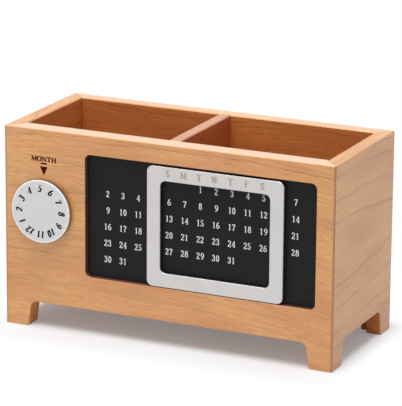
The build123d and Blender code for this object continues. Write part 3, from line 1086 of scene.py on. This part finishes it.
class DESK_CALENDAR_OT_month_mark(bpy.types.Operator):
    """Print the word, the short bar and the arrow over the dial"""

    bl_idname = "desk_calendar.month_mark"
    bl_label = "Month Mark"

    def execute(self, context):
        settings = context.scene.calendar_print
        material = ink("label_ink", context.scene.calendar_colours.label_ink)
        x = DIAL_MIDDLE.x + settings.label_shift
        case = type_case(settings.word_thick, settings.word_thin)
        above = (x, DIAL_TOP + settings.label_rise)
        word = set_line(case, "MONTH", settings.label_height, above, width=settings.label_width)
        level = DIAL_TOP + settings.bar_rise
        ends = [Vector((x - settings.bar_width / 2, level)), Vector((x + settings.bar_width / 2, level))]
        rule = [merged(stroke_quads(ends, settings.bar_height, 0.0, 0.0))]
        tip = DIAL_TOP + settings.arrow_rise
        half = settings.arrow_width / 2
        top = tip + settings.arrow_height
        arrow = [([Vector((x, tip)), Vector((x + half, top)), Vector((x - half, top))], [[0, 1, 2]])]
        for name, shapes in (("month_word", word), ("month_bar", rule), ("month_arrow", arrow)):
            print_marks(name, shapes, WOOD_FRONT, "case", material)
        return {"FINISHED"}


class DESK_CALENDAR_OT_studio(bpy.types.Operator):
    """Set up the pale floor, the even room light, the large lamp and the camera"""

    bl_idname = "desk_calendar.studio"
    bl_label = "Studio"

    def execute(self, context):
        settings = context.scene.calendar_studio
        lay_floor(settings, context.scene.calendar_colours.studio_floor)
        light_room(settings)
        hang_lamp("key_lamp", settings.key_place, settings.key_size, settings.key_power)
        set_camera(settings)
        context.scene.view_settings.view_transform = "Standard"
        return {"FINISHED"}


# ---- Studio ----
WHITE = (1.0, 1.0, 1.0, 1.0)
FLOOR_SIDES = 96
NEAREST_SEEN = 0.01


def seen_directly(shade):
    """1 for what the camera sees, also in a mirror or through glass, and 0 for what only lights the part."""
    path = shade.add("ShaderNodeLightPath").outputs
    direct = shade.number("MAXIMUM", path["Is Camera Ray"], path["Is Glossy Ray"])
    return shade.number("MAXIMUM", direct, path["Is Transmission Ray"])


def lay_floor(settings, paper):
    """A round floor. Its shadows stay, a painted shadow darkens it near the part, and it fades into the white
    round it.
    """
    shape = bmesh.new()
    bmesh.ops.create_circle(shape, cap_ends=True, segments=FLOOR_SIDES, radius=settings.floor_radius)
    mesh = bpy.data.meshes.new("studio_floor")
    shape.to_mesh(mesh)
    shape.free()
    floor = bpy.data.objects.new("studio_floor", mesh)
    bpy.context.scene.collection.objects.link(floor)
    shade = Shade("floor_paper")
    low, high = (Vector(corner) for corner in part_box)
    low += Vector((settings.glow_inset, -settings.glow_apron, 0.0))
    high.x -= settings.glow_inset
    low.z = high.z = 0.0
    from_middle = shade.vector("ABSOLUTE", shade.vector("SUBTRACT", shade.place(), (low + high) / 2))
    beyond = shade.vector("SUBTRACT", from_middle, (high - low) / 2)
    away = shade.vector("LENGTH", shade.vector("MAXIMUM", beyond, (0.0, 0.0, 0.0)))
    # Painted shadow: the floor's white glow is weaker near the part
    glow = shade.smooth(away, 0.0, settings.glow_reach, settings.floor_glow, 1.0)
    amount = shade.number("MULTIPLY", glow, seen_directly(shade))
    paper_surface = shade.add("ShaderNodeBsdfDiffuse", {"Color": (*paper, 1.0)})
    white = shade.add("ShaderNodeEmission", {"Color": WHITE, "Strength": 1.0})
    both = shade.add("ShaderNodeMixShader", {0: amount, 1: paper_surface.outputs[0], 2: white.outputs[0]})
    shade.add("ShaderNodeOutputMaterial", {"Surface": both.outputs[0]})
    mesh.materials.append(shade.finish)


def light_room(settings):
    """Even light from all round, behind which the camera and shiny surfaces see plain white."""
    shade = Shade("studio_room", "worlds")
    strength = shade.add("ShaderNodeMapRange", {"Value": seen_directly(shade), "To Min": settings.room_light})
    background = shade.add("ShaderNodeBackground", {"Color": WHITE, "Strength": strength.outputs[0]})
    shade.add("ShaderNodeOutputWorld", {"Surface": background.outputs[0]})
    bpy.context.scene.world = shade.finish


def hang_lamp(name, place, size, power):
    """A large square lamp that faces the part."""
    light = bpy.data.lights.new(name, "AREA")
    light.size = size
    light.energy = power
    lamp = bpy.data.objects.new(name, light)
    lamp.location = place
    lamp.rotation_euler = (-Vector(place)).to_track_quat("-Z", "Y").to_euler()
    lamp.visible_camera = False
    bpy.context.scene.collection.objects.link(lamp)


def set_camera(settings):
    """A camera at the photograph's angle, turned a little about its view."""
    data = bpy.data.cameras.new("photo_camera")
    data.lens = settings.camera_lens
    data.clip_start = NEAREST_SEEN
    camera = bpy.data.objects.new("photo_camera", data)
    place = Vector(settings.camera_place)
    view = Vector(settings.camera_aim) - place
    turn = view.to_track_quat("-Z", "Y").to_matrix().to_4x4()
    camera.matrix_world = Matrix.Translation(place) @ turn @ Matrix.Rotation(settings.camera_roll, 4, "Z")
    bpy.context.scene.collection.objects.link(camera)
    bpy.context.scene.camera = camera


# ---- Panel and registration ----
OPERATORS = (
    DESK_CALENDAR_OT_boards,
    DESK_CALENDAR_OT_date_plate,
    DESK_CALENDAR_OT_slider,
    DESK_CALENDAR_OT_month_dial,
    DESK_CALENDAR_OT_day_numbers,
    DESK_CALENDAR_OT_weekday_letters,
    DESK_CALENDAR_OT_dial_numbers,
    DESK_CALENDAR_OT_month_mark,
    DESK_CALENDAR_OT_studio,
)

SETTINGS = {
    "calendar_print": CalendarPrintSettings,
    "calendar_colours": CalendarColourSettings,
    "calendar_studio": CalendarStudioSettings,
}


class DESK_CALENDAR_PT_sidebar(bpy.types.Panel):
    """Lists the steps that finish the calendar, and their settings"""

    bl_idname = "DESK_CALENDAR_PT_sidebar"
    bl_label = "Desk Calendar"
    bl_space_type = "VIEW_3D"
    bl_region_type = "UI"
    bl_category = "Desk Calendar"

    def draw(self, context):
        for operator in OPERATORS:
            self.layout.operator(operator.bl_idname)
        for name, group in SETTINGS.items():
            box = self.layout.box()
            box.label(text=group.__doc__)
            for setting in group.__annotations__:
                box.prop(getattr(context.scene, name), setting)


def register():
    for group in SETTINGS.values():
        bpy.utils.register_class(group)
    for name, group in SETTINGS.items():
        setattr(bpy.types.Scene, name, PointerProperty(type=group))
    for operator in OPERATORS:
        bpy.utils.register_class(operator)
    bpy.utils.register_class(DESK_CALENDAR_PT_sidebar)


def unregister():
    bpy.utils.unregister_class(DESK_CALENDAR_PT_sidebar)
    for operator in reversed(OPERATORS):
        bpy.utils.unregister_class(operator)
    for name, group in SETTINGS.items():
        delattr(bpy.types.Scene, name)
        bpy.utils.unregister_class(group)


def main():
    register()
    bpy.ops.desk_calendar.boards()
    bpy.ops.desk_calendar.date_plate()
    bpy.ops.desk_calendar.slider()
    bpy.ops.desk_calendar.month_dial()
    bpy.ops.desk_calendar.day_numbers()
    bpy.ops.desk_calendar.weekday_letters()
    bpy.ops.desk_calendar.dial_numbers()
    bpy.ops.desk_calendar.month_mark()
    bpy.ops.desk_calendar.studio()


if __name__ == "__main__":
    main()
